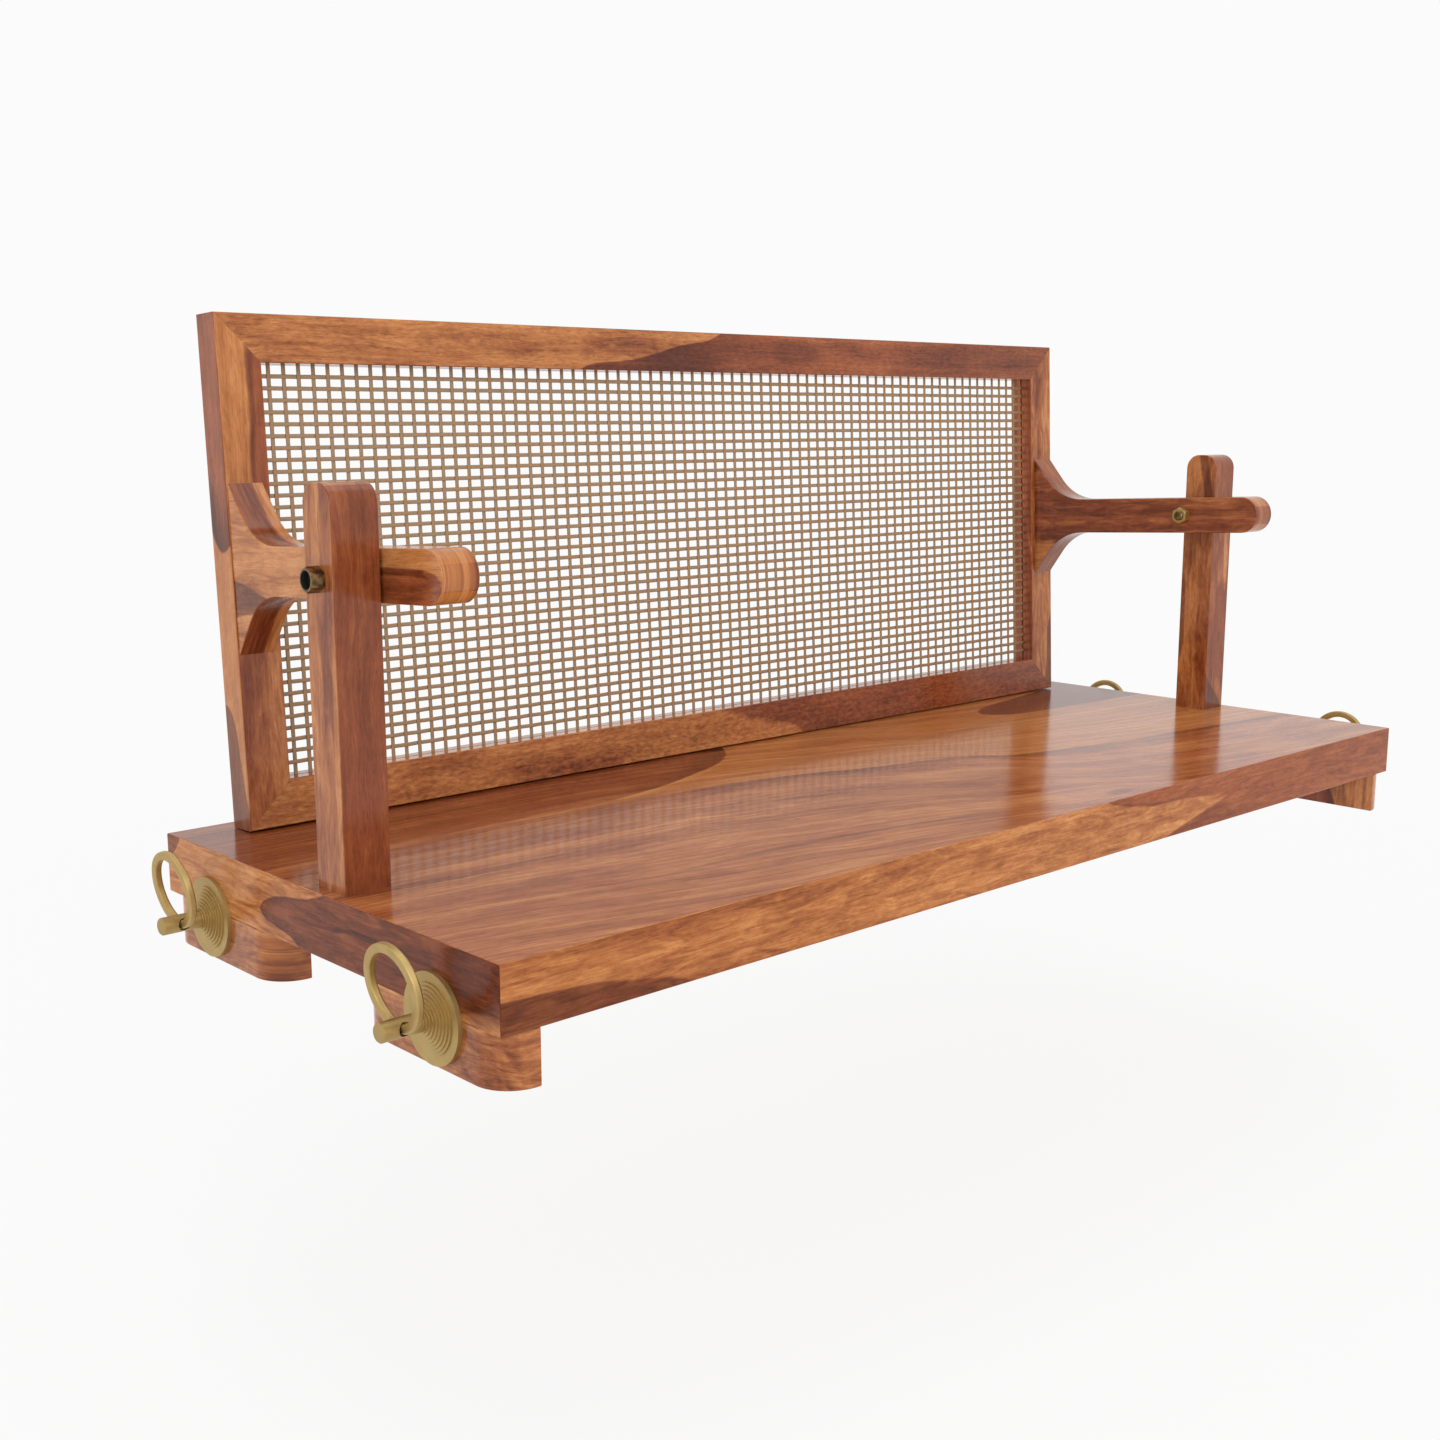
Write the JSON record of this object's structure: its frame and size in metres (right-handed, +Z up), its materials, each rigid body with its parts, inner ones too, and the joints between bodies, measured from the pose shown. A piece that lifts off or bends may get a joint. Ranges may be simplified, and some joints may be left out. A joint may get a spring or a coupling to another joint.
{
  "type": "porch swing",
  "caption": "Hanging wooden swing seat with a cane back that flips over between side posts, flared arms, corner blocks and brass hanging rings on stepped plates.",
  "frame": {"origin": "plan centre of the seat, level with the underside of the corner blocks", "axes": "+X along the seat to the right, +Y towards the back's rest position, +Z up"},
  "size_m": [1.47, 0.533, 0.5823],
  "materials": {
    "rosewood": "semi-gloss lacquer over red-brown rosewood with dark heartwood figure",
    "cane": "flat woven cane strip, matt",
    "brass": "satin brushed",
    "antique_brass": "dark antique",
    "screw_steel": "zinc plated",
    "dowel_wood": "plain beech"
  },
  "bodies": {
    "seat": {"seat_board": "rosewood", "post_left": "rosewood", "pivot_bolt_left": "antique_brass", "pivot_nut_left": "brass", "spacer_washer_left": "antique_brass", "corner_block_front_left": "rosewood", "hanger_plate_front_left": "brass", "hanger_pin_front_left": "brass", "corner_block_back_left": "rosewood", "hanger_plate_back_left": "brass", "hanger_pin_back_left": "brass", "post_right": "rosewood", "pivot_bolt_right": "antique_brass", "pivot_nut_right": "brass", "spacer_washer_right": "antique_brass", "corner_block_front_right": "rosewood", "hanger_plate_front_right": "brass", "hanger_pin_front_right": "brass", "corner_block_back_right": "rosewood", "hanger_plate_back_right": "brass", "hanger_pin_back_right": "brass", "block_screws": "screw_steel", "post_screws": "screw_steel"},
    "back": {"cane_net": "cane", "bottom_rail": "rosewood", "top_rail": "rosewood", "stile_left": "rosewood", "stile_right": "rosewood", "arm_left": "rosewood", "arm_right": "rosewood", "frame_dowels": "dowel_wood", "arm_screws": "screw_steel"},
    "ring_front_left": {"ring_front_left": "brass"},
    "ring_back_left": {"ring_back_left": "brass"},
    "ring_front_right": {"ring_front_right": "brass"},
    "ring_back_right": {"ring_back_right": "brass"}
  },
  "joints": [
    {"name": "back_flip", "type": "hinge", "parent": "seat", "child": "back", "pos_m": [0, -0.015, 0.361], "axis": [1, 0, 0], "range_deg": [0, 188.3]},
    {"name": "ring_swing_front_left", "type": "hinge", "parent": "seat", "child": "ring_front_left", "pos_m": [-0.7156, -0.181, 0.0397], "axis": [0, 1, 0], "range_deg": [-204, 31]},
    {"name": "ring_swing_back_left", "type": "hinge", "parent": "seat", "child": "ring_back_left", "pos_m": [-0.7156, 0.181, 0.0397], "axis": [0, 1, 0], "range_deg": [-204, 31]},
    {"name": "ring_swing_front_right", "type": "hinge", "parent": "seat", "child": "ring_front_right", "pos_m": [0.7156, -0.181, 0.0397], "axis": [0, -1, 0], "range_deg": [-204, 31]},
    {"name": "ring_swing_back_right", "type": "hinge", "parent": "seat", "child": "ring_back_right", "pos_m": [0.7156, 0.181, 0.0397], "axis": [0, -1, 0], "range_deg": [-204, 31]}
  ]
}
